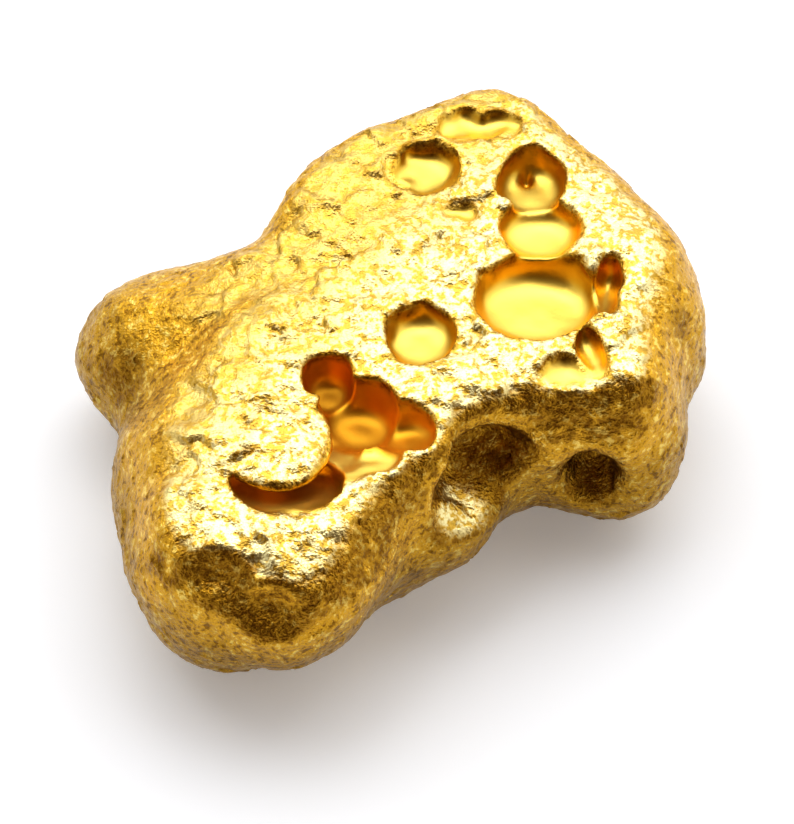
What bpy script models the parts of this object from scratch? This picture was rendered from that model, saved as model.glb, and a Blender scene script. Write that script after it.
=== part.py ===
"""A water-worn gold nugget: one solid lump of native gold.

The lump is a thick, flattened stone of gold, about as long as a fingernail is wide. Rounded lobes run
together into a broad head, a leg and a nose. The top is worn nearly flat and is pitted: round dimples, a
chain of three deep bowls down the head, and a crevice half covered by a folded tongue of gold. The sides
are rounded, with hollows under the head. The underside is worn flat where the nugget rests.

Frame: +Z up, origin at the middle of the resting flat's level, +X towards the head's right side,
-Y towards the leg. Sizes below are in millimetres, and MM turns them into metres.
"""

import math
from collections import namedtuple

import bmesh
import bpy
import numpy as np
from mathutils import Matrix, Vector

MM = 0.001

# ---- driving dimensions (mm) ----
TOP_HEIGHT = 5.7  # height of the worn top over the origin
TOP_SLOPE = (0.03, 0.03)  # rise of the top per mm of +X and of +Y
TOP_ROUNDING = 0.7  # how softly the top turns into the sides
LOBE_BLEND = 0.9  # how far neighbouring lobes melt together
WAVE_COUNT = 12  # gentle waves that run over the whole skin
WAVE_LENGTHS = (1.5, 3.5)  # shortest and longest of them
WAVE_HEIGHT = 0.035  # typical rise and fall that they make together
WAVE_SEED = 11
DENT_ROUNDING = 0.5  # how softly a broad dent turns into the wall around it
BOX_MIDDLE = (-0.10, 0.03)  # middle of the lump's box in these sizes: the origin is moved under it
HEART = Vector((0.2, -0.3, 2.6))  # a point deep in the gold that sees the whole skin
FARTHEST = 14.0  # further from the heart than any gold

BLANK_SUBDIVISIONS = 5  # icosphere that is shaped into the blank
SKIN_GRAIN = 0.2  # distance between neighbouring points of the skin
CUTTER_SUBDIVISIONS = 3  # icospheres that cut the pits
SKIN_ROUNDS = 3  # times that the skin is evened out and settled
RAY_STEPS = 80  # steps in along each ray
RAY_CAUTION = 0.8  # share of the measured gap that each step goes
SETTLING_STEPS = 16  # moves of the skin's points onto the skin
LONGEST_MOVE = 0.1  # how far one move may take a point
SLOPE_STEP = 0.01  # how far the slope's measure looks to each side
TRIANGLE_SHARE = 0.255  # share of the triangles that the finished lump keeps

# A lobe is an ellipsoid with its own half-height above and below its waist. Turn is about Z, in degrees.
Lobe = namedtuple("Lobe", "name x y waist length width rise drop turn")
LOBES = (
    Lobe("head", 2.45, 1.36, 2.6, 4.3, 4.3, 5.6, 3.1, 0),
    Lobe("crown", 2.15, 5.01, 3.0, 2.65, 3.15, 4.6, 2.6, -15),
    Lobe("shoulder", -0.15, 4.26, 2.9, 3.3, 2.60, 4.6, 2.6, 36),
    Lobe("cheek", 4.35, 4.86, 3.0, 1.60, 1.60, 3.2, 2.4, 0),
    Lobe("right_side", 5.1, 2.31, 2.8, 2.7, 3.4, 3.8, 2.6, 20),
    Lobe("right_foot", 5.25, -0.74, 2.2, 1.95, 2.15, 4.0, 2.2, 20),
    Lobe("middle", -0.85, -0.74, 2.5, 4.2, 3.6, 5.0, 2.8, 0),
    Lobe("collar", -2.85, -1.34, 2.6, 2.2, 2.6, 5.0, 2.5, 0),
    Lobe("leg", -3.0, -3.97, 3.6, 3.0, 4.1, 2.5, 3.4, 11),
    Lobe("left_flank", -5.05, -2.44, 2.2, 1.9, 3.3, 2.6, 2.0, 0),
    Lobe("toe", -4.3, -5.36, 2.3, 1.9, 1.95, 3.4, 2.3, 0),
    Lobe("saddle", -2.95, 2.31, 2.5, 2.9, 1.8, 2.8, 2.2, 32),
    Lobe("nose", -4.65, 1.41, 2.3, 3.2, 2.5, 2.5, 2.1, 5),
    Lobe("nose_tip", -6.3, 1.96, 2.1, 1.5, 1.4, 1.6, 1.7, 0),
    Lobe("front_wall", -0.77, -3.84, 2.4, 3.25, 1.70, 3.6, 2.4, 28),
    Lobe("ledge", 1.15, -3.95, 2.9, 1.35, 0.80, 0.65, 1.2, 28),
)

# A dent is a broad shallow hollow in a side wall: an ellipsoid that is taken away softly.
Dent = namedtuple("Dent", "name x y z length width height turn")
DENTS = (
    Dent("front_hollow", 2.4, -3.79, 4.15, 1.40, 1.90, 0.90, 14),
    Dent("corner_hollow", 4.85, -3.34, 3.0, 0.75, 1.60, 0.9, 0),
    Dent("leg_lip_left", -4.25, -7.35, 5.05, 0.75, 0.75, 0.50, -20),
    Dent("leg_lip_right", -3.05, -7.95, 4.60, 0.80, 0.70, 0.50, 10),
    Dent("head_lip", 3.55, -3.39, 5.05, 2.00, 0.80, 0.38, -4),
)

# A pit is cut from the top: its rim's half-sizes, the depth that its round walls would reach, how far its
# widest level is over the rim, its turn, and the depth of its flat floor, which falls towards +X and +Y.
# A widest level under the rim, which is a negative one, makes the walls overhang.
Pit = namedtuple("Pit", "name x y length width depth over turn floor fall_x fall_y")
PITS = (
    Pit("crown_dimple_left", 1.70, 6.22, 0.66, 0.60, 0.60, 0.20, 10, 0.30, 0.25, 0.10),
    Pit("crown_dimple_right", 2.60, 6.16, 0.58, 0.52, 0.50, 0.20, -10, 0.32, -0.15, 0.25),
    Pit("shoulder_dimple", 0.80, 4.85, 0.82, 0.84, 0.80, 0.25, -20, 0.42, 0.15, 0.12),
    Pit("chain_top", 3.45, 4.45, 0.86, 1.00, 1.10, 0.00, 0, 0.70, 0.00, 0.20),
    Pit("chain_hole", 3.35, 4.95, 0.22, 0.25, 1.20, 0.00, 0, 1.05, 0.00, 0.00),
    Pit("chain_middle", 3.62, 2.95, 1.02, 0.90, 0.95, 0.10, 0, 0.62, 0.00, 0.15),
    Pit("chain_pocket", 5.25, 1.15, 0.36, 0.86, 0.90, 0.00, -8, 0.70, 0.00, 0.30),
    Pit("chain_basin", 3.55, 0.85, 1.56, 1.34, 1.20, 0.10, 10, 0.75, 0.10, 0.18),
    Pit("middle_dimple", 0.66, -0.30, 0.84, 0.92, 0.90, 0.10, 0, 0.50, 0.00, 0.15),
    Pit("edge_dimple", 4.25, -1.62, 0.82, 0.66, 0.60, 0.20, -20, 0.34, 0.00, 0.10),
    Pit("edge_niche", 4.78, -0.85, 0.34, 0.80, 0.60, 0.00, 12, 0.50, 0.00, 0.30),
    Pit("small_dimple", 1.72, 3.44, 0.52, 0.34, 0.40, 0.10, -15, 0.25, 0.00, 0.10),
    Pit("crevice_well", -1.60, -1.45, 0.62, 0.62, 1.80, -0.20, 0, 1.10, 0.00, 0.00),
    Pit("crevice_heart", -0.85, -2.40, 0.98, 0.90, 1.60, -0.10, -25, 1.15, 0.00, 0.15),
    Pit("crevice_end", 0.23, -2.98, 0.80, 0.64, 1.10, 0.00, -12, 0.75, -0.20, 0.40),
    Pit("crevice_bend", -1.42, -3.28, 0.64, 0.90, 1.40, 0.00, 25, 0.75, 0.00, 0.45),
    Pit("crevice_ramp", -0.98, -3.99, 1.40, 0.72, 0.80, 0.10, 23, 0.32, 0.00, 0.40),
    Pit("crevice_channel", -2.50, -4.40, 1.32, 1.10, 1.30, 0.05, 14, 0.70, 0.00, 0.55),
    Pit("crevice_tail", -3.45, -4.25, 0.50, 0.70, 1.00, 0.00, 0, 0.70, 0.00, 0.50),
)

# The tongue: a flap of gold folded over the crevice from behind, worn level with the top.
TONGUE_CENTRE = (-2.85, -3.25, 5.30)
TONGUE_HALF_SIZES = (1.38, 1.46, 0.32)
TONGUE_TURN = 8

GOLD_COLOUR = (0.83, 0.56, 0.15, 1.0)
GOLD_ROUGHNESS = 0.32


def clear_scene():
    for obj in list(bpy.data.objects):
        bpy.data.objects.remove(obj)
    place = bpy.data.objects.new("place", None)
    place.location = (-BOX_MIDDLE[0] * MM, -BOX_MIDDLE[1] * MM, 0)
    bpy.context.collection.objects.link(place)


def melt(first, second, reach):
    """The smaller of two distances, rounded over where they are nearly equal."""
    share = np.clip(0.5 + 0.5 * (second - first) / reach, 0.0, 1.0)
    return second + (first - second) * share - reach * share * (1.0 - share)


def ellipsoid_distance(offsets, half_sizes):
    """Roughly how far points lie outside an ellipsoid, from their offsets to its centre."""
    scaled = offsets / half_sizes
    near = np.linalg.norm(scaled, axis=1)
    slope = np.linalg.norm(scaled / half_sizes, axis=1) + 1e-9
    return near * (near - 1.0) / slope


def offsets_in(points, centre, turn):
    """Offsets from a centre, in axes turned about Z."""
    angle = math.radians(turn)
    turned = np.array(((math.cos(angle), math.sin(angle)), (-math.sin(angle), math.cos(angle))))
    offsets = points - np.array(centre)
    offsets[:, :2] = offsets[:, :2] @ turned.T
    return offsets


def lobe_distance(points, lobe):
    offsets = offsets_in(points, (lobe.x, lobe.y, lobe.waist), lobe.turn)
    half_sizes = np.empty_like(offsets)
    half_sizes[:, 0] = lobe.length
    half_sizes[:, 1] = lobe.width
    half_sizes[:, 2] = np.where(offsets[:, 2] > 0, lobe.rise, lobe.drop)
    return ellipsoid_distance(offsets, half_sizes)


def dent_distance(points, dent):
    offsets = offsets_in(points, (dent.x, dent.y, dent.z), dent.turn)
    return ellipsoid_distance(offsets, np.array((dent.length, dent.width, dent.height)))


def top_height(x, y):
    """Height of the worn top, which slopes a little."""
    return TOP_HEIGHT + TOP_SLOPE[0] * x + TOP_SLOPE[1] * y


def unevenness(points):
    """Gentle rises and hollows all over the skin: waves in seeded directions, added up."""
    seeded = np.random.default_rng(WAVE_SEED)
    rise = np.zeros(len(points))
    for _ in range(WAVE_COUNT):
        direction = seeded.normal(size=3)
        direction /= np.linalg.norm(direction)
        turns = points @ direction / seeded.uniform(*WAVE_LENGTHS)
        rise += np.sin(2 * math.pi * (turns + seeded.uniform()))
    return WAVE_HEIGHT * rise / math.sqrt(WAVE_COUNT / 2)


def blank_distance(points):
    """Roughly how far points lie outside the lump, before its hollows and pits."""
    distance = lobe_distance(points, LOBES[0])
    for lobe in LOBES[1:]:
        distance = melt(distance, lobe_distance(points, lobe), LOBE_BLEND)
    over_top = points[:, 2] - top_height(points[:, 0], points[:, 1])
    return -melt(-distance, -over_top, TOP_ROUNDING)


def skin_distance(points):
    """Roughly how far points lie outside the lump with its broad hollows, before its pits."""
    distance = blank_distance(points) + unevenness(points)
    for dent in DENTS:
        distance = -melt(-distance, dent_distance(points, dent), DENT_ROUNDING)
    return distance


def new_object(name, bm):
    """An object whose sizes are measured from the point that the empty called place sets."""
    mesh = bpy.data.meshes.new(name)
    bm.to_mesh(mesh)
    bm.free()
    obj = bpy.data.objects.new(name, mesh)
    obj.parent = bpy.data.objects["place"]
    bpy.context.collection.objects.link(obj)
    return obj


def blank():
    """The lump without hollows: an icosphere whose points are drawn in along rays to the gold's surface."""
    bm = bmesh.new()
    bmesh.ops.create_icosphere(bm, subdivisions=BLANK_SUBDIVISIONS, radius=1.0)
    rays = np.array([vertex.co.normalized() for vertex in bm.verts])
    reach = np.full(len(rays), FARTHEST)
    for _ in range(RAY_STEPS):
        reach -= RAY_CAUTION * blank_distance(np.array(HEART) + rays * reach[:, None])
    for vertex, ray, distance in zip(bm.verts, rays, reach):
        vertex.co = (HEART + Vector(ray) * distance) * MM
    return new_object("nugget", bm)


def settle(points):
    """Move points that lie near the skin onto it, each along the skin's slope."""
    steps = np.eye(3) * SLOPE_STEP
    for _ in range(SETTLING_STEPS):
        rise = [skin_distance(points + step) - skin_distance(points - step) for step in steps]
        slope = np.stack(rise, axis=1) / (2 * SLOPE_STEP)
        steepness = (slope * slope).sum(axis=1) + 1e-6
        move = np.clip(skin_distance(points), -LONGEST_MOVE, LONGEST_MOVE)
        points = points - (move / steepness)[:, None] * slope
    return points


def evened(obj):
    """The object's mesh, remeshed so that its points lie evenly."""
    remesh = obj.modifiers.new("even_grain", "REMESH")
    remesh.mode = "VOXEL"
    remesh.voxel_size = SKIN_GRAIN * MM
    mesh = bpy.data.meshes.new_from_object(obj.evaluated_get(bpy.context.evaluated_depsgraph_get()))
    obj.modifiers.remove(remesh)
    return mesh


def gold_skin():
    """The lump with its broad hollows: the blank, evened out and settled onto the skin a few times."""
    obj = blank()
    for _ in range(SKIN_ROUNDS):
        obj.data = evened(obj)
        points = np.empty(len(obj.data.vertices) * 3)
        obj.data.vertices.foreach_get("co", points)
        points = settle(points.reshape(-1, 3) / MM)
        obj.data.vertices.foreach_set("co", (points * MM).ravel())
        obj.data.update()
    return obj


def ellipsoid(name, centre, half_sizes, turn):
    """A hidden cutter or piece to be joined: an icosphere stretched to its half-sizes, then turned about Z."""
    bm = bmesh.new()
    bmesh.ops.create_icosphere(bm, subdivisions=CUTTER_SUBDIVISIONS, radius=1.0)
    place = (
        Matrix.Translation(Vector(centre) * MM)
        @ Matrix.Rotation(math.radians(turn), 4, "Z")
        @ Matrix.Diagonal((*(Vector(half_sizes) * MM), 1.0))
    )
    bmesh.ops.transform(bm, matrix=place, verts=bm.verts)
    obj = new_object(name, bm)
    obj.hide_render = True
    obj.display_type = "WIRE"
    return obj


def pit_cutter(pit):
    """The ellipsoid whose cut has the pit's rim at the level of the top, flattened to the pit's floor."""
    height = pit.depth + pit.over
    spread = 1.0 / math.sqrt(1.0 - (pit.over / height) ** 2)
    mouth_height = top_height(pit.x, pit.y)
    half_sizes = (pit.length * spread, pit.width * spread, height)
    cutter = ellipsoid(f"cutter_{pit.name}", (pit.x, pit.y, mouth_height + pit.over), half_sizes, pit.turn)
    for vertex in cutter.data.vertices:
        x, y, _ = vertex.co / MM
        falling = pit.fall_x * (x - pit.x) + pit.fall_y * (y - pit.y)
        vertex.co.z = max(vertex.co.z, (mouth_height - pit.floor - falling) * MM)
    return cutter


def tongue():
    """The flap over the crevice, flattened to the level of the top."""
    flap = ellipsoid("tongue", TONGUE_CENTRE, TONGUE_HALF_SIZES, TONGUE_TURN)
    for vertex in flap.data.vertices:
        x, y, _ = vertex.co / MM
        vertex.co.z = min(vertex.co.z, top_height(x, y) * MM)
    return flap


def base_cutter():
    """A block under the resting flat."""
    bm = bmesh.new()
    bmesh.ops.create_cube(bm, size=1.0)
    size = 2 * FARTHEST * MM
    place = Matrix.Translation((0, 0, -size / 2)) @ Matrix.Scale(size, 4)
    bmesh.ops.transform(bm, matrix=place, verts=bm.verts)
    obj = new_object("cutter_base", bm)
    obj.hide_render = True
    obj.display_type = "WIRE"
    return obj


def boolean(target, tool, operation):
    modifier = target.modifiers.new(tool.name, "BOOLEAN")
    modifier.operation = operation
    modifier.solver = "EXACT"
    modifier.object = tool


def gold_material():
    material = bpy.data.materials.new("gold")
    material.use_nodes = True
    shader = material.node_tree.nodes["Principled BSDF"]
    shader.inputs["Base Color"].default_value = GOLD_COLOUR
    shader.inputs["Metallic"].default_value = 1.0
    shader.inputs["Roughness"].default_value = GOLD_ROUGHNESS
    return material


def nugget():
    lump = gold_skin()
    for pit in PITS:
        boolean(lump, pit_cutter(pit), "DIFFERENCE")
    boolean(lump, tongue(), "UNION")
    thinning = lump.modifiers.new("thinning", "DECIMATE")
    thinning.ratio = TRIANGLE_SHARE
    boolean(lump, base_cutter(), "DIFFERENCE")
    lump.data.materials.append(gold_material())
    return lump


clear_scene()
nugget()
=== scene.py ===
"""The looks of a water-worn gold nugget.

The solid's mesh is remeshed finely, drawn onto the exact lobes, dents, pits and tongue that the solid was
made from, and then given its skin: hammered and creased where the top is worn, grainy on the sides, and
smooth in the pits. Working sizes are millimetres in the solid's own sketch frame, and MM turns them into
metres.
"""

import math
from collections import namedtuple
from itertools import product

import bmesh
import bpy
import numpy as np
from mathutils import Matrix, Vector


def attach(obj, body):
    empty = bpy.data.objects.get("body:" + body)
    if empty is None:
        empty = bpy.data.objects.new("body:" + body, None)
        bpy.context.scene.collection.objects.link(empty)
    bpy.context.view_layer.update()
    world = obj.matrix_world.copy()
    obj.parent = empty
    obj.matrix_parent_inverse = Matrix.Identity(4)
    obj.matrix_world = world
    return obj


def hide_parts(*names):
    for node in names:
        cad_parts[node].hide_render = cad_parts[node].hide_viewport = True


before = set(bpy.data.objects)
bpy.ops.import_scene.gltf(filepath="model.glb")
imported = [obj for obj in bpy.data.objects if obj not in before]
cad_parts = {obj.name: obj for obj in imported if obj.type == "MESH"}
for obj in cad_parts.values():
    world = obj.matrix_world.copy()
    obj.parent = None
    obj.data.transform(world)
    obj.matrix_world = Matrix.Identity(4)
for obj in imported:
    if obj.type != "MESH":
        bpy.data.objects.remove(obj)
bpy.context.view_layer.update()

MM = 0.001

# ---- the solid's own shape (mm), the same values as its source ----
TOP_HEIGHT = 5.7
TOP_SLOPE = (0.03, 0.03)
TOP_ROUNDING = 0.7
LOBE_BLEND = 0.9
WAVE_COUNT = 12
WAVE_LENGTHS = (1.5, 3.5)
WAVE_HEIGHT = 0.035
WAVE_SEED = 11
DENT_ROUNDING = 0.5
BOX_MIDDLE = (-0.10, 0.03)

Lobe = namedtuple("Lobe", "name x y waist length width rise drop turn")
LOBES = (
    Lobe("head", 2.45, 1.36, 2.6, 4.3, 4.3, 5.6, 3.1, 0),
    Lobe("crown", 2.15, 5.01, 3.0, 2.65, 3.15, 4.6, 2.6, -15),
    Lobe("shoulder", -0.15, 4.26, 2.9, 3.3, 2.60, 4.6, 2.6, 36),
    Lobe("cheek", 4.35, 4.86, 3.0, 1.60, 1.60, 3.2, 2.4, 0),
    Lobe("right_side", 5.1, 2.31, 2.8, 2.7, 3.4, 3.8, 2.6, 20),
    Lobe("right_foot", 5.25, -0.74, 2.2, 1.95, 2.15, 4.0, 2.2, 20),
    Lobe("middle", -0.85, -0.74, 2.5, 4.2, 3.6, 5.0, 2.8, 0),
    Lobe("collar", -2.85, -1.34, 2.6, 2.2, 2.6, 5.0, 2.5, 0),
    Lobe("leg", -3.0, -3.97, 3.6, 3.0, 4.1, 2.5, 3.4, 11),
    Lobe("left_flank", -5.05, -2.44, 2.2, 1.9, 3.3, 2.6, 2.0, 0),
    Lobe("toe", -4.3, -5.36, 2.3, 1.9, 1.95, 3.4, 2.3, 0),
    Lobe("saddle", -2.95, 2.31, 2.5, 2.9, 1.8, 2.8, 2.2, 32),
    Lobe("nose", -4.65, 1.41, 2.3, 3.2, 2.5, 2.5, 2.1, 5),
    Lobe("nose_tip", -6.3, 1.96, 2.1, 1.5, 1.4, 1.6, 1.7, 0),
    Lobe("front_wall", -0.77, -3.84, 2.4, 3.25, 1.70, 3.6, 2.4, 28),
    Lobe("ledge", 1.15, -3.95, 2.9, 1.35, 0.80, 0.65, 1.2, 28),
)

Dent = namedtuple("Dent", "name x y z length width height turn")
DENTS = (
    Dent("front_hollow", 2.4, -3.79, 4.15, 1.40, 1.90, 0.90, 14),
    Dent("corner_hollow", 4.85, -3.34, 3.0, 0.75, 1.60, 0.9, 0),
    Dent("leg_lip_left", -4.25, -7.35, 5.05, 0.75, 0.75, 0.50, -20),
    Dent("leg_lip_right", -3.05, -7.95, 4.60, 0.80, 0.70, 0.50, 10),
    Dent("head_lip", 3.55, -3.39, 5.05, 2.00, 0.80, 0.38, -4),
)

Pit = namedtuple("Pit", "name x y length width depth over turn floor fall_x fall_y")
PITS = (
    Pit("crown_dimple_left", 1.70, 6.22, 0.66, 0.60, 0.60, 0.20, 10, 0.30, 0.25, 0.10),
    Pit("crown_dimple_right", 2.60, 6.16, 0.58, 0.52, 0.50, 0.20, -10, 0.32, -0.15, 0.25),
    Pit("shoulder_dimple", 0.80, 4.85, 0.82, 0.84, 0.80, 0.25, -20, 0.42, 0.15, 0.12),
    Pit("chain_top", 3.45, 4.45, 0.86, 1.00, 1.10, 0.00, 0, 0.70, 0.00, 0.20),
    Pit("chain_hole", 3.35, 4.95, 0.22, 0.25, 1.20, 0.00, 0, 1.05, 0.00, 0.00),
    Pit("chain_middle", 3.62, 2.95, 1.02, 0.90, 0.95, 0.10, 0, 0.62, 0.00, 0.15),
    Pit("chain_pocket", 5.25, 1.15, 0.36, 0.86, 0.90, 0.00, -8, 0.70, 0.00, 0.30),
    Pit("chain_basin", 3.55, 0.85, 1.56, 1.34, 1.20, 0.10, 10, 0.75, 0.10, 0.18),
    Pit("middle_dimple", 0.66, -0.30, 0.84, 0.92, 0.90, 0.10, 0, 0.50, 0.00, 0.15),
    Pit("edge_dimple", 4.25, -1.62, 0.82, 0.66, 0.60, 0.20, -20, 0.34, 0.00, 0.10),
    Pit("edge_niche", 4.78, -0.85, 0.34, 0.80, 0.60, 0.00, 12, 0.50, 0.00, 0.30),
    Pit("small_dimple", 1.72, 3.44, 0.52, 0.34, 0.40, 0.10, -15, 0.25, 0.00, 0.10),
    Pit("crevice_well", -1.60, -1.45, 0.62, 0.62, 1.80, -0.20, 0, 1.10, 0.00, 0.00),
    Pit("crevice_heart", -0.85, -2.40, 0.98, 0.90, 1.60, -0.10, -25, 1.15, 0.00, 0.15),
    Pit("crevice_end", 0.23, -2.98, 0.80, 0.64, 1.10, 0.00, -12, 0.75, -0.20, 0.40),
    Pit("crevice_bend", -1.42, -3.28, 0.64, 0.90, 1.40, 0.00, 25, 0.75, 0.00, 0.45),
    Pit("crevice_ramp", -0.98, -3.99, 1.40, 0.72, 0.80, 0.10, 23, 0.32, 0.00, 0.40),
    Pit("crevice_channel", -2.50, -4.40, 1.32, 1.10, 1.30, 0.05, 14, 0.70, 0.00, 0.55),
    Pit("crevice_tail", -3.45, -4.25, 0.50, 0.70, 1.00, 0.00, 0, 0.70, 0.00, 0.50),
)

TONGUE_CENTRE = (-2.85, -3.25, 5.30)
TONGUE_HALF_SIZES = (1.38, 1.46, 0.32)
TONGUE_TURN = 8
TONGUE_TOP_ROUNDING = 0.15

# ---- the fine mesh (mm) ----
GRAIN = 0.087  # distance between neighbouring points
WELD_DISTANCE = 0.0005
FLOOR_ROUNDING = 0.35  # how softly a pit's floor turns up into its walls
PIT_BLEND = 0.12  # how softly neighbouring pits run into each other
RIM_ROUNDING = 0.13  # how softly a pit's wall turns into the top
WANDER_DEPTH = 0.5  # below this the walls of the pits are smooth
TONGUE_ROUNDING = 0.06
SLOPE_STEP = 0.01
LONGEST_MOVE = 0.08
SETTLING_ROUNDS = 3
SETTLING_STEPS = 2
SPREADING = 0.5  # share of the way that a point moves to the middle of its neighbours
LEAST_STEEPNESS = 1e-6
TINY = 1e-9

# ---- noise ----
LATTICE = 32  # size of the noise's repeating block
CORNERS = np.array(list(product((0, 1), repeat=3)))
NEIGHBOURS = np.array(list(product((-1, 0, 1), repeat=3)))
CREASE_SHARPNESS = 5.0
FAR_AWAY = 9.0

# ---- marks on the skin: noise with its size across and its height in mm, and its seed ----
Mark = namedtuple("Mark", "size height seed")
RIM_WANDER = Mark(0.55, 0.12, 9)  # how a pit's rim wanders from its plain round
BROAD_LUMPS = Mark(0.75, 0.045, 1)
SMALL_LUMPS = Mark(0.38, 0.032, 2)
HAMMERED_FACETS = Mark(0.80, 0.070, 4)
GRIT = Mark(0.20, 0.022, 3)
COARSE_GRAINS = Mark(0.26, 0.018, 6)
FINE_GRAINS = Mark(0.16, 0.014, 7)
GRAIN_FACETS = Mark(0.45, 0.030, 12)
BROAD_POLISH = Mark(0.9, 0.012, 9)
SMALL_POLISH = Mark(0.4, 0.006, 17)

# ---- the patches that seams, cuts, and the painted shade in the dents and under the top's front edge keep to: noise between its start and its end ----
Patches = namedtuple("Patches", "size seed start end")
SEAM_PATCHES = Patches(0.9, 5, 0.0, 0.5)
CUT_PATCHES = Patches(1.3, 10, -0.1, 0.5)
DENT_SHADE_PATCHES = Patches(0.5, 13, -0.5, 0.1)
BROW_PATCHES = Patches(0.4, 15, -0.7, 0.0)

# ---- how the marks are laid out ----
DRIFT_SIZE = 0.8  # noise that bends the edges of facets, grains and cuts
DRIFT_SEEDS = (21, 22, 23)
FACET_DRIFT = 0.30
GRAIN_DRIFT = 0.15
CUT_DRIFT = 0.1
SEAM_WIDTH = 0.16  # of the seams between the hammered facets, as a share of a facet
SEAM_DEPTH = 0.030
CUT_SIZE = 0.6
CUT_SEED = 8
CUT_FALL = 3  # a cut's depth falls off as this power
TOP_CUT_DEPTH = 0.025
SIDE_CUT_DEPTH = 0.02
SIDE_LUMPS = 0.3  # how much of the top's lumps the sides have
SIDE_GRAINS = 0.6
BASE_FADE = (0.0, 0.3)  # heights between which the relief fades in over the resting flat

# ---- where the skin is worn and pitted, and where light and shade are painted on it: each mask's start and end ----
PIT_DEPTH = (0.03, 0.16)
WORN_LEVEL = (0.80, 0.96)
WORN_DEPTH = (0.9, 0.4)
LEDGE_CENTRE = (1.45, -3.95, 3.5)  # a worn ledge under the front hollow
LEDGE_SIZES = (0.9, 0.7, 0.8)
LEDGE_EDGE = (1.3, 0.6)
LEDGE_LEVEL = (0.35, 0.65)
RIM_START = (0.0, 0.05)
RIM_END = (0.42, 0.12)
RIM_ROUGHNESS = Mark(0.3, 0.12, 11)
RIM_FACING = (0.35, 0.75)
# painted shade in the front dents and on the slopes under the top's front edge
DENT_SHADE_EDGE = (0.35, -0.15)
BROW_FACING = (0.20, 0.42)
BROW_LEVEL = (0.25, 0.45)
# painted shade along the top's seams and cuts: how strongly each is darkened
SEAM_SHADE = 0.35
CUT_SHADE = 0.7
# the steepness over which the pits' walls take the painted bounce light
WALL_STEEPNESS = (0.92, 0.55)
BROWN_PITS = ("crevice_well", "crevice_heart", "crevice_end")
BROWN_EDGE = (-0.22, -0.06)
PALING_DIRECTION = (0.6, -0.5)
PALING_DRIFT = Mark(1.1, 0.8, 16)
PALING_EDGE = (-2.6, 0.4)
LOWER_DARKENING_DRIFT = Mark(1.2, 0.5, 14)
LOWER_DARKENING_HEIGHTS = (4.8, 2.4)

# ---- the view ----
VIEW_ELEVATION = 54.0
VIEW_DISTANCE = 103.0
VIEW_TARGET = (0.075, -0.4, 2.6)
LENS = 180.0
SENSOR = 36.0
CLIP_START = 0.001

# ---- the light: a pale tent with a dim warm gap high in front, and two soft panels high behind ----
TENT_BACK = 1.10
TENT_FRONT = 0.90
TENT_TURN = 0.6
LEFTWARD = (-0.85, 0.15, 0.50)
LEFT_EDGE = (0.45, 0.95)
LEFT_BRIGHTNESS = 0.70
GAP_BRIGHTNESS = 0.09
GAP_COLOUR = (1.0, 0.60, 0.25, 1.0)
GAP_ELEVATION = 46.0
GAP_INNER = 32.0
GAP_OUTER = 58.0
WHITE = (1.0, 1.0, 1.0, 1.0)

Panel = namedtuple("Panel", "name elevation azimuth distance width height power")
PANELS = (
    Panel("left_panel", 58, -38, 0.12, 0.09, 0.10, 0.036),
    Panel("right_panel", 58, 32, 0.12, 0.09, 0.10, 0.028),
)

# ---- the white paper that the nugget lies on (metres) ----
FLOOR_HALF_SIZE = 0.4
FLOOR_DROP = 0.00001
PAPER_WHITE = (0.90, 0.925, 0.97, 1.0)
PAPER_ROUGHNESS = 0.9
PAPER_GLOSS = 0.1
PAPER_GLOW_COLOUR = (0.93, 0.96, 1.0, 1.0)
PAPER_GLOW = 0.18


def smooth_step(low, high, values):
    share = np.clip((values - low) / (high - low), 0.0, 1.0)
    return share * share * (3.0 - 2.0 * share)


# ---- distances to the gold's surface ----


def melt(first, second, reach):
    share = np.clip(0.5 + 0.5 * (second - first) / reach, 0.0, 1.0)
    return second + (first - second) * share - reach * share * (1.0 - share)


def carve(distance, hollow, reach):
    """Take a hollow away from the gold, with a rounded rim."""
    return -melt(-distance, hollow, reach)


def ellipsoid_distance(offsets, half_sizes):
    scaled = offsets / half_sizes
    near = np.linalg.norm(scaled, axis=1)
    slope = np.linalg.norm(scaled / half_sizes, axis=1) + TINY
    return near * (near - 1.0) / slope


def offsets_in(points, centre, turn):
    angle = math.radians(turn)
    turned = np.array(((math.cos(angle), math.sin(angle)), (-math.sin(angle), math.cos(angle))))
    offsets = points - np.array(centre)
    offsets[:, :2] = offsets[:, :2] @ turned.T
    return offsets


def lobe_distance(points, lobe):
    offsets = offsets_in(points, (lobe.x, lobe.y, lobe.waist), lobe.turn)
    half_sizes = np.empty_like(offsets)
    half_sizes[:, 0] = lobe.length
    half_sizes[:, 1] = lobe.width
    half_sizes[:, 2] = np.where(offsets[:, 2] > 0, lobe.rise, lobe.drop)
    return ellipsoid_distance(offsets, half_sizes)


def top_height(x, y):
    return TOP_HEIGHT + TOP_SLOPE[0] * x + TOP_SLOPE[1] * y


def unevenness(points):
    seeded = np.random.default_rng(WAVE_SEED)
    rise = np.zeros(len(points))
    for _ in range(WAVE_COUNT):
        direction = seeded.normal(size=3)
        direction /= np.linalg.norm(direction)
        turns = points @ direction / seeded.uniform(*WAVE_LENGTHS)
        rise += np.sin(2 * math.pi * (turns + seeded.uniform()))
    return WAVE_HEIGHT * rise / math.sqrt(WAVE_COUNT / 2)


def dent_distance(points, dent):
    offsets = offsets_in(points, (dent.x, dent.y, dent.z), dent.turn)
    return ellipsoid_distance(offsets, np.array((dent.length, dent.width, dent.height)))


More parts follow.
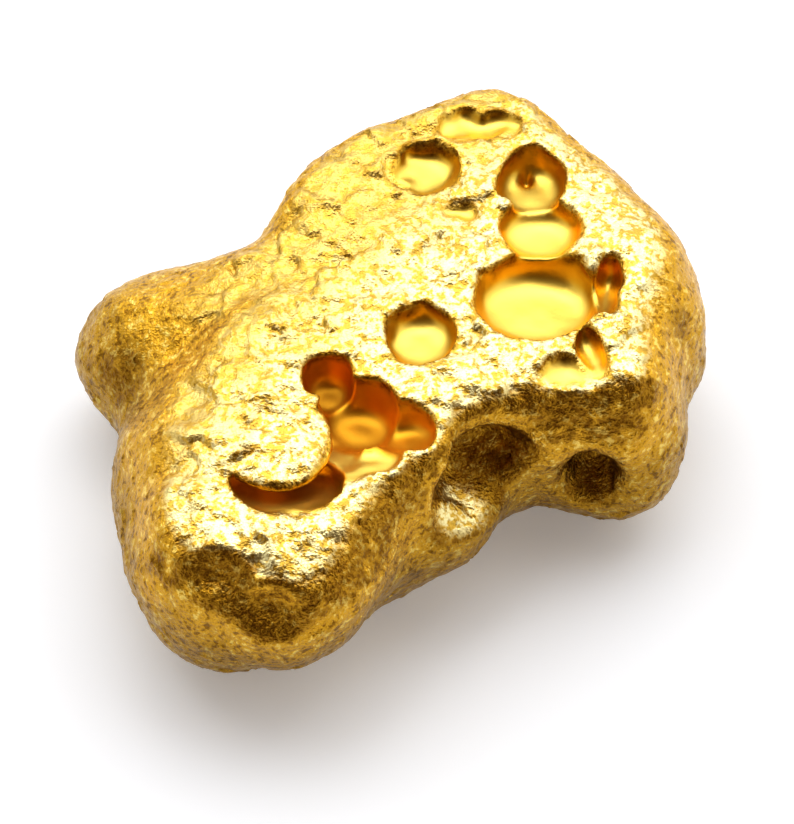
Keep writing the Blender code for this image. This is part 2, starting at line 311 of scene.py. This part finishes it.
def skin_distance(points):
    """Roughly how far points lie outside the lump with its broad hollows, before its pits."""
    distance = lobe_distance(points, LOBES[0])
    for lobe in LOBES[1:]:
        distance = melt(distance, lobe_distance(points, lobe), LOBE_BLEND)
    over_top = points[:, 2] - top_height(points[:, 0], points[:, 1])
    distance = -melt(-distance, -over_top, TOP_ROUNDING) + unevenness(points)
    for dent in DENTS:
        distance = carve(distance, dent_distance(points, dent), DENT_ROUNDING)
    return distance


def pit_distance(points, pit):
    """Roughly how far points lie outside a round pit with a nearly flat floor."""
    height = pit.depth + pit.over
    spread = 1.0 / math.sqrt(1.0 - (pit.over / height) ** 2)
    mouth_height = top_height(pit.x, pit.y)
    offsets = offsets_in(points, (pit.x, pit.y, mouth_height + pit.over), pit.turn)
    walls = ellipsoid_distance(offsets, np.array((pit.length * spread, pit.width * spread, height)))
    falling = pit.fall_x * (points[:, 0] - pit.x) + pit.fall_y * (points[:, 1] - pit.y)
    under_floor = mouth_height - pit.floor - falling - points[:, 2]
    return -melt(-walls, -under_floor, FLOOR_ROUNDING)


def tongue_distance(points):
    """Roughly how far points lie outside the tongue, which is worn level with the top."""
    flap = ellipsoid_distance(offsets_in(points, TONGUE_CENTRE, TONGUE_TURN), np.array(TONGUE_HALF_SIZES))
    over_top = points[:, 2] - top_height(points[:, 0], points[:, 1])
    return carve(flap, -over_top, TONGUE_TOP_ROUNDING)


def gold_distance(points, rim_wander):
    """Roughly how far points lie outside the whole nugget, pits and tongue included."""
    distance = skin_distance(points)
    under_top = top_height(points[:, 0], points[:, 1]) - points[:, 2]
    wander_here = rim_wander * smooth_step(WANDER_DEPTH, 0.0, under_top)
    hollow = pit_distance(points, PITS[0])
    for pit in PITS[1:]:
        hollow = melt(hollow, pit_distance(points, pit), PIT_BLEND)
    distance = carve(distance, hollow + wander_here, RIM_ROUNDING)
    distance = melt(distance, tongue_distance(points) + wander_here, TONGUE_ROUNDING)
    return np.maximum(distance, -points[:, 2])


# ---- noise over the skin ----


def wander(points, size, seed):
    """Smooth noise between about -1 and 1 whose bumps are about size across."""
    slopes = np.random.default_rng(seed).normal(size=(LATTICE, LATTICE, LATTICE, 3))
    places = points / size
    corner = np.floor(places).astype(int)
    part = places - corner
    fade = part**3 * (part * (part * 6 - 15) + 10)
    total = np.zeros(len(points))
    for offset in CORNERS:
        near = (corner + offset) % LATTICE
        share = np.prod(np.where(offset, fade, 1 - fade), axis=1)
        total += share * (slopes[near[:, 0], near[:, 1], near[:, 2]] * (part - offset)).sum(axis=1)
    return total


def cells(points, size, seed):
    """Cells round points scattered size apart.

    Gives the distances to the nearest and the second nearest of them, in cell sizes, and the height of a
    flat facet that slopes its own way through each cell.
    """
    scattered = np.random.default_rng(seed)
    scatter = scattered.uniform(size=(LATTICE, LATTICE, LATTICE, 3))
    slopes = scattered.normal(size=(LATTICE, LATTICE, LATTICE, 3))
    places = points / size
    corner = np.floor(places).astype(int)
    part = places - corner
    nearest = np.full(len(points), FAR_AWAY)
    second = np.full(len(points), FAR_AWAY)
    facet = np.zeros(len(points))
    for offset in NEIGHBOURS:
        near = (corner + offset) % LATTICE
        away = part - offset - scatter[near[:, 0], near[:, 1], near[:, 2]]
        gap = np.linalg.norm(away, axis=1)
        second = np.minimum(second, np.maximum(gap, nearest))
        closer = gap < nearest
        slope = slopes[near[closer, 0], near[closer, 1], near[closer, 2]]
        facet[closer] = (away[closer] * slope).sum(axis=1)
        nearest = np.minimum(nearest, gap)
    return nearest, second, facet


def bumps(points, mark):
    return mark.height * wander(points, mark.size, mark.seed)


def patchy(points, patches):
    return smooth_step(patches.start, patches.end, wander(points, patches.size, patches.seed))


def creases(points, size, seed):
    """Noise that is 1 along thin winding lines and falls off to 0 between them."""
    return 1.0 - np.minimum(1.0, np.abs(wander(points, size, seed)) * CREASE_SHARPNESS)


# ---- the mesh ----


def read_points(mesh):
    points = np.empty(len(mesh.vertices) * 3)
    mesh.vertices.foreach_get("co", points)
    return points.reshape(-1, 3)


def write_points(mesh, points):
    mesh.vertices.foreach_set("co", points.ravel())
    mesh.update()


def normals_of(mesh):
    normals = np.empty(len(mesh.vertices) * 3)
    mesh.vertices.foreach_get("normal", normals)
    return normals.reshape(-1, 3)


def even_mesh(node):
    """The node's mesh in the sketch frame, in mm, remeshed to an even fine grain."""
    bm = bmesh.new()
    bm.from_mesh(node.data)
    shift = Matrix.Translation((BOX_MIDDLE[0], BOX_MIDDLE[1], 0))
    bmesh.ops.transform(bm, matrix=shift @ Matrix.Scale(1 / MM, 4), verts=bm.verts)
    bmesh.ops.remove_doubles(bm, verts=bm.verts, dist=WELD_DISTANCE)
    mesh = bpy.data.meshes.new("nugget_skin")
    bm.to_mesh(mesh)
    bm.free()
    obj = bpy.data.objects.new("nugget_skin", mesh)
    bpy.context.collection.objects.link(obj)
    remesh = obj.modifiers.new("even_grain", "REMESH")
    remesh.mode = "VOXEL"
    remesh.voxel_size = GRAIN
    fine = bpy.data.meshes.new_from_object(obj.evaluated_get(bpy.context.evaluated_depsgraph_get()))
    obj.modifiers.remove(remesh)
    obj.data = fine
    return obj


def neighbour_means(points, edges):
    totals = np.zeros_like(points)
    counts = np.zeros(len(points))
    for near, far in ((0, 1), (1, 0)):
        np.add.at(totals, edges[:, near], points[edges[:, far]])
        np.add.at(counts, edges[:, near], 1)
    return totals / counts[:, None]


def settle(points, edges, rim_wander):
    """Draw points onto the gold's surface, and spread them evenly along it."""
    steps = np.eye(3) * SLOPE_STEP
    for _ in range(SETTLING_ROUNDS):
        for _ in range(SETTLING_STEPS):
            here = gold_distance(points, rim_wander)
            rise = [gold_distance(points + step, rim_wander) - here for step in steps]
            slope = np.stack(rise, axis=1) / SLOPE_STEP
            steepness = (slope * slope).sum(axis=1) + LEAST_STEEPNESS
            move = np.clip(here, -LONGEST_MOVE, LONGEST_MOVE)
            points = points - (move / steepness)[:, None] * slope
        direction = slope / np.sqrt(steepness)[:, None]
        pull = neighbour_means(points, edges) - points
        pull -= (pull * direction).sum(axis=1)[:, None] * direction
        points = points + SPREADING * pull
    return points


def edges_of(mesh):
    edges = np.empty(len(mesh.edges) * 2, dtype=np.int64)
    mesh.edges.foreach_get("vertices", edges)
    return edges.reshape(-1, 2)


def set_mask(mesh, name, values):
    attribute = mesh.attributes.new(name, "FLOAT", "POINT")
    attribute.data.foreach_set("value", values.astype(np.float32))


def worn_top(points, normals, deep, ledge):
    """Where the skin is worn: the nearly level top outside the pits, and the front hollow's ledge."""
    under_top = top_height(points[:, 0], points[:, 1]) - points[:, 2]
    top = smooth_step(*WORN_LEVEL, normals[:, 2]) * smooth_step(*WORN_DEPTH, under_top) * (1 - deep)
    return np.maximum(top, ledge * smooth_step(*LEDGE_LEVEL, normals[:, 2]))


def rim_shade(points, normals, depth):
    """The dark line inside a pit's rim, where its wall faces forward."""
    ragged = bumps(points, RIM_ROUGHNESS)
    near_rim = smooth_step(*RIM_START, depth) * smooth_step(*RIM_END, depth + ragged)
    return near_rim * smooth_step(*RIM_FACING, -normals[:, 1])


def dent_shade(points, side):
    """Painted shade, brown, in the dents of the front wall."""
    in_dents = np.max([smooth_step(*DENT_SHADE_EDGE, dent_distance(points, dent)) for dent in DENTS], axis=0)
    return side * in_dents * patchy(points, DENT_SHADE_PATCHES)


def brow_shade(points, normals, deep, ledge):
    """Painted shade, brown, on the slopes that lean forward under the top's front edge."""
    facing = smooth_step(*BROW_FACING, -normals[:, 1]) * (1 - ledge)
    facing = facing * smooth_step(*BROW_LEVEL, normals[:, 2]) * (1 - deep)
    return facing * patchy(points, BROW_PATCHES)


def right_front_paling(points):
    """Where the worn top is palest, towards the right and the front."""
    along = PALING_DIRECTION[0] * points[:, 0] + PALING_DIRECTION[1] * points[:, 1]
    return smooth_step(*PALING_EDGE, along + bumps(points, PALING_DRIFT))


def lower_darkening(points):
    """Where the sides are darker, low down."""
    return smooth_step(*LOWER_DARKENING_HEIGHTS, points[:, 2] + bumps(points, LOWER_DARKENING_DRIFT))


def skin_relief(points, normals):
    """How far the fine skin stands out or in, and the masks that the gold's colours use."""
    depth = -skin_distance(points)
    deep = smooth_step(*PIT_DEPTH, depth)
    ledge = smooth_step(*LEDGE_EDGE, np.linalg.norm((points - LEDGE_CENTRE) / LEDGE_SIZES, axis=1))
    top = worn_top(points, normals, deep, ledge)
    side = (1 - top) * (1 - deep)

    drift = np.stack([wander(points, DRIFT_SIZE, seed) for seed in DRIFT_SEEDS], axis=1)
    near, far, facet = cells(points + FACET_DRIFT * drift, HAMMERED_FACETS.size, HAMMERED_FACETS.seed)
    seam = 1 - smooth_step(0.0, SEAM_WIDTH, far - near)
    seam *= patchy(points, SEAM_PATCHES)
    lumps = bumps(points, BROAD_LUMPS) + bumps(points, SMALL_LUMPS) + HAMMERED_FACETS.height * facet
    grains = bumps(points, COARSE_GRAINS) + bumps(points, FINE_GRAINS)
    chips = cells(points + GRAIN_DRIFT * drift, GRAIN_FACETS.size, GRAIN_FACETS.seed)[2]
    grains += GRAIN_FACETS.height * chips
    cuts = creases(points + CUT_DRIFT * drift, CUT_SIZE, CUT_SEED) ** CUT_FALL
    cuts *= patchy(points, CUT_PATCHES)

    relief = top * (lumps + bumps(points, GRIT) - SEAM_DEPTH * seam - TOP_CUT_DEPTH * cuts)
    relief += side * (SIDE_LUMPS * lumps + SIDE_GRAINS * grains - SIDE_CUT_DEPTH * cuts)
    relief += deep * (bumps(points, BROAD_POLISH) + bumps(points, SMALL_POLISH))

    # painted shade: the worn top darkened along its seams and cuts
    creased = top * np.maximum(SEAM_SHADE * seam, CUT_SHADE * cuts)
    shaded = rim_shade(points, normals, depth)
    # painted shade in the front dents
    dent_shaded = dent_shade(points, side)
    # painted shade on the slopes under the top's front edge
    brow_shaded = brow_shade(points, normals, deep, ledge)
    in_brown = np.max([-pit_distance(points, pit) for pit in PITS if pit.name in BROWN_PITS], axis=0)
    return relief, {
        "worn_top": top,
        "in_pit": deep,
        # painted light: the amber of light bouncing between the pits' steep walls
        "pit_wall_bounce": deep * smooth_step(*WALL_STEEPNESS, normals[:, 2]),
        "brown_pit": deep * smooth_step(*BROWN_EDGE, in_brown),
        # painted shade: creases, forward-facing pit rims, front dents and the slopes under the top's front
        # edge
        "hollow": np.max([creased, shaded, dent_shaded, brow_shaded], axis=0),
        "right_front_paling": right_front_paling(points),
    }


def nugget_skin(node):
    obj = even_mesh(node)
    mesh = obj.data
    mesh.name = "nugget_skin"
    points = read_points(mesh)
    points = settle(points, edges_of(mesh), bumps(points, RIM_WANDER))
    write_points(mesh, points)
    normals = normals_of(mesh)
    relief, masks = skin_relief(points, normals)
    relief *= smooth_step(*BASE_FADE, points[:, 2])
    points = points + relief[:, None] * normals
    points[:, 2] = np.maximum(points[:, 2], 0.0)
    masks["lower_darkening"] = lower_darkening(points)
    for name, values in masks.items():
        set_mask(mesh, name, values)
    points -= np.array((BOX_MIDDLE[0], BOX_MIDDLE[1], 0.0))
    write_points(mesh, points * MM)
    mesh.shade_smooth()
    return obj


# ---- materials ----


MIX_SHARE, MIX_FIRST, MIX_SECOND = 0, 6, 7  # a Mix node's sockets for its share and its two colours


class Nodes:
    """A node tree, with short calls for the nodes that the gold and the light use."""

    def __init__(self, owner):
        self.tree = owner.node_tree

    def link(self, value, socket):
        if isinstance(value, bpy.types.NodeSocket):
            self.tree.links.new(value, socket)
        else:
            socket.default_value = value

    def node(self, kind, **values):
        made = self.tree.nodes.new(kind)
        for name, value in values.items():
            setattr(made, name, value)
        return made

    def mask(self, name):
        return self.node("ShaderNodeAttribute", attribute_name=name).outputs["Fac"]

    def math(self, operation, first, second=0.0, third=0.0):
        made = self.node("ShaderNodeMath", operation=operation)
        for value, socket in zip((first, second, third), made.inputs):
            self.link(value, socket)
        return made.outputs[0]

    def spread(self, value, low, high, to_low=0.0, to_high=1.0):
        """Turn the values from low to high softly into those from to_low to to_high."""
        made = self.node("ShaderNodeMapRange", interpolation_type="SMOOTHSTEP")
        for given, socket in zip((value, low, high, to_low, to_high), made.inputs):
            self.link(given, socket)
        return made.outputs[0]

    def mix(self, share, first, second, blend="MIX"):
        made = self.node("ShaderNodeMix", data_type="RGBA", blend_type=blend)
        self.link(share, made.inputs[MIX_SHARE])
        self.link(first, made.inputs[MIX_FIRST])
        self.link(second, made.inputs[MIX_SECOND])
        return made.outputs[2]

    def vector(self, operation, first, second):
        made = self.node("ShaderNodeVectorMath", operation=operation)
        self.link(first, made.inputs[0])
        self.link(second, made.inputs[1])
        return made.outputs["Value"] if operation == "DOT_PRODUCT" else made.outputs["Vector"]

    def places(self):
        """Places on the skin in mm."""
        made = self.node("ShaderNodeVectorMath", operation="SCALE")
        self.link(self.node("ShaderNodeTexCoord").outputs["Object"], made.inputs[0])
        made.inputs["Scale"].default_value = 1 / MM
        return made.outputs[0]

    def noise(self, places, size, detail=2.0):
        made = self.node("ShaderNodeTexNoise")
        self.link(places, made.inputs["Vector"])
        made.inputs["Scale"].default_value = 1 / size
        made.inputs["Detail"].default_value = detail
        return made.outputs["Fac"]

    def facets(self, places, size):
        """The heights of flat facets about size across, each tilted its own way."""
        made = self.node("ShaderNodeTexVoronoi")
        self.link(places, made.inputs["Vector"])
        made.inputs["Scale"].default_value = 1 / size
        away = self.vector("SUBTRACT", places, made.outputs["Position"])
        slope = self.vector("SUBTRACT", made.outputs["Color"], (0.5, 0.5, 0.5))
        return self.vector("DOT_PRODUCT", away, slope)


BRIGHT_GOLD = (1.0, 0.72, 0.17, 1.0)
# the sides' gold, darker than the worn top: partly their grainy own tone, partly painted shade for the
# dark surroundings their grain reflects
SIDE_GOLD = (0.72, 0.40, 0.035, 1.0)
BROWN_GOLD = (0.34, 0.17, 0.015, 1.0)
# the colour of the painted shade in creases, pit rims, dents and under the top's front edge
SHADE_GOLD = (0.22, 0.10, 0.008, 1.0)
LOWER_DARKENING_TINT = (0.60, 0.60, 0.60, 1.0)
PIT_GOLD = (1.0, 0.74, 0.15, 1.0)
# painted light: amber for the light that bounces between the pits' steep walls
PIT_WALL_BOUNCE_GOLD = (0.96, 0.54, 0.03, 1.0)
BROWN_PIT_GOLD = (0.86, 0.44, 0.035, 1.0)
TAN_GOLD = (0.70, 0.44, 0.07, 1.0)
PALE_GOLD = (1.0, 0.89, 0.46, 1.0)
DULL_WORN_GOLD = (0.74, 0.52, 0.14, 1.0)
SPECK = (0.42, 0.33, 0.09, 1.0)

# the mottling's sizes across in mm, and the noise values between which one colour gives way to the next
PATCH_SIZE = 0.30
GRAIN_SIZE = 0.12
FINE_SIZE = 0.06
MOTTLE_SHARE = 0.6
BROWN_TO_SIDE = (0.46, 0.58)
SIDE_TO_BRIGHT = (0.64, 0.76)
TAN_TO_WORN = (0.88, 1.08)
SPECKS_FROM = (0.64, 0.74)
SPECK_STRENGTH = 0.8
# how the grain noise thins out the painted shade
SHADE_GRAIN = (0.3, 0.6)
THIN_SHADE = 0.6

# roughness, and the heights in mm and the strengths of the finest bumps
GOLD_ROUGHNESS = 0.30
PIT_ROUGHER = 0.06
BROWN_PIT_ROUGHER = 0.08
GRAIN_HEIGHT = 0.05
FINE_HEIGHT = 0.02
FACET_HEIGHT = 0.15
SIDE_BUMP = 0.9
TOP_BUMP = 0.55
PIT_BUMP = 0.04


def gold_colour(nodes, patches, grain, fine):
    mottle = nodes.math("MULTIPLY", grain, MOTTLE_SHARE)
    mottle = nodes.math("MULTIPLY_ADD", patches, MOTTLE_SHARE, mottle)
    side = nodes.mix(nodes.spread(mottle, *BROWN_TO_SIDE), BROWN_GOLD, SIDE_GOLD)
    side = nodes.mix(nodes.spread(mottle, *SIDE_TO_BRIGHT), side, BRIGHT_GOLD)
    # the sides darker towards the bottom
    side = nodes.mix(nodes.mask("lower_darkening"), side, nodes.mix(1.0, side, LOWER_DARKENING_TINT, "MULTIPLY"))

    worn_gold = nodes.mix(nodes.mask("right_front_paling"), DULL_WORN_GOLD, PALE_GOLD)
    worn = nodes.mix(nodes.spread(nodes.math("ADD", patches, grain), *TAN_TO_WORN), TAN_GOLD, worn_gold)
    worn = nodes.mix(nodes.spread(fine, *SPECKS_FROM, 0.0, SPECK_STRENGTH), worn, SPECK)

    # painted light: the pits' steep walls tinted amber for the light bouncing between them
    pit = nodes.mix(nodes.mask("pit_wall_bounce"), PIT_GOLD, PIT_WALL_BOUNCE_GOLD)
    pit = nodes.mix(nodes.mask("brown_pit"), pit, BROWN_PIT_GOLD)

    colour = nodes.mix(nodes.mask("worn_top"), side, worn)
    colour = nodes.mix(nodes.mask("in_pit"), colour, pit)
    # painted shade: the hollow mask, thinned by the grain, darkens the colour
    painted_shade = nodes.spread(grain, *SHADE_GRAIN, 1.0, THIN_SHADE)
    painted_shade = nodes.math("MULTIPLY", nodes.mask("hollow"), painted_shade)
    return nodes.mix(painted_shade, colour, SHADE_GOLD)


def gold():
    material = bpy.data.materials.new("gold")
    material.use_nodes = True
    nodes = Nodes(material)
    shader = nodes.tree.nodes["Principled BSDF"]
    places = nodes.places()
    patches = nodes.noise(places, PATCH_SIZE, 3.0)
    grain = nodes.noise(places, GRAIN_SIZE, 3.0)
    fine = nodes.noise(places, FINE_SIZE)
    nodes.link(gold_colour(nodes, patches, grain, fine), shader.inputs["Base Color"])
    shader.inputs["Metallic"].default_value = 1.0

    deep = nodes.mask("in_pit")
    rough = nodes.math("MULTIPLY_ADD", deep, PIT_ROUGHER, GOLD_ROUGHNESS)
    rough = nodes.math("MULTIPLY_ADD", nodes.mask("brown_pit"), BROWN_PIT_ROUGHER, rough)
    nodes.link(rough, shader.inputs["Roughness"])

    height = nodes.math("MULTIPLY_ADD", grain, GRAIN_HEIGHT, nodes.math("MULTIPLY", fine, FINE_HEIGHT))
    height = nodes.math("MULTIPLY_ADD", nodes.facets(places, GRAIN_SIZE), FACET_HEIGHT, height)
    bump = nodes.node("ShaderNodeBump")
    bump.inputs["Distance"].default_value = MM
    nodes.link(height, bump.inputs["Height"])
    open_skin = nodes.math("SUBTRACT", 1.0, deep)
    strength = nodes.spread(nodes.mask("worn_top"), 0.0, 1.0, SIDE_BUMP, TOP_BUMP)
    strength = nodes.math("MULTIPLY", open_skin, strength)
    nodes.link(nodes.math("ADD", strength, PIT_BUMP), bump.inputs["Strength"])
    nodes.link(bump.outputs["Normal"], shader.inputs["Normal"])
    return material


def paper():
    material = bpy.data.materials.new("white_paper")
    material.use_nodes = True
    shader = material.node_tree.nodes["Principled BSDF"]
    shader.inputs["Base Color"].default_value = PAPER_WHITE
    shader.inputs["Roughness"].default_value = PAPER_ROUGHNESS
    shader.inputs["Specular IOR Level"].default_value = PAPER_GLOSS
    shader.inputs["Emission Color"].default_value = PAPER_GLOW_COLOUR
    shader.inputs["Emission Strength"].default_value = PAPER_GLOW
    return material


# ---- the stage ----


def floor():
    bm = bmesh.new()
    bmesh.ops.create_grid(bm, x_segments=1, y_segments=1, size=FLOOR_HALF_SIZE)
    mesh = bpy.data.meshes.new("floor")
    bm.to_mesh(mesh)
    bm.free()
    obj = bpy.data.objects.new("floor", mesh)
    obj.location = (0, 0, -FLOOR_DROP)
    mesh.materials.append(paper())
    bpy.context.collection.objects.link(obj)


def camera():
    data = bpy.data.cameras.new("camera")
    data.lens = LENS
    data.sensor_width = SENSOR
    data.clip_start = CLIP_START
    obj = bpy.data.objects.new("camera", data)
    bpy.context.collection.objects.link(obj)
    tilt = math.radians(VIEW_ELEVATION)
    target = Vector(VIEW_TARGET) - Vector((BOX_MIDDLE[0], BOX_MIDDLE[1], 0))
    away = Vector((0, -math.cos(tilt), math.sin(tilt)))
    obj.location = (target + away * VIEW_DISTANCE) * MM
    obj.rotation_euler = (math.pi / 2 - tilt, 0, 0)
    bpy.context.scene.camera = obj


def soft_panel(panel):
    data = bpy.data.lights.new(panel.name, "AREA")
    data.shape = "RECTANGLE"
    data.size = panel.width
    data.size_y = panel.height
    data.energy = panel.power
    obj = bpy.data.objects.new(panel.name, data)
    bpy.context.collection.objects.link(obj)
    rise = math.radians(panel.elevation)
    bearing = math.radians(panel.azimuth)
    level = math.cos(rise)
    away = Vector((math.sin(bearing) * level, math.cos(bearing) * level, math.sin(rise)))
    obj.location = away * panel.distance
    obj.rotation_euler = away.to_track_quat("Z", "Y").to_euler()


def studio_world():
    """A pale tent, brighter behind than in front, dimmer on the left, and with a dim gap high in front."""
    world = bpy.data.worlds.new("studio")
    bpy.context.scene.world = world
    world.use_nodes = True
    nodes = Nodes(world)
    direction = nodes.node("ShaderNodeTexCoord").outputs["Generated"]
    backward = nodes.vector("DOT_PRODUCT", direction, (0, 1, 0))
    tent = nodes.spread(backward, -TENT_TURN, TENT_TURN, TENT_FRONT, TENT_BACK)
    leftward = nodes.vector("DOT_PRODUCT", direction, LEFTWARD)
    tent = nodes.math("MULTIPLY", tent, nodes.spread(leftward, *LEFT_EDGE, 1.0, LEFT_BRIGHTNESS))
    tilt = math.radians(GAP_ELEVATION)
    facing = nodes.vector("DOT_PRODUCT", direction, (0, -math.cos(tilt), math.sin(tilt)))
    edge, core = math.cos(math.radians(GAP_OUTER)), math.cos(math.radians(GAP_INNER))
    in_gap = nodes.spread(facing, edge, core)
    light = nodes.math("MULTIPLY", tent, nodes.math("MULTIPLY_ADD", in_gap, GAP_BRIGHTNESS - 1.0, 1.0))
    background = nodes.tree.nodes["Background"]
    nodes.link(light, background.inputs["Strength"])
    nodes.link(nodes.mix(in_gap, WHITE, GAP_COLOUR), background.inputs["Color"])


skin = nugget_skin(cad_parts["nugget"])
skin.data.materials.append(gold())
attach(skin, "root")
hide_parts("nugget")

floor()
camera()
studio_world()
for panel in PANELS:
    soft_panel(panel)
bpy.context.scene.view_settings.view_transform = "Standard"
bpy.context.scene.view_settings.look = "Medium High Contrast"
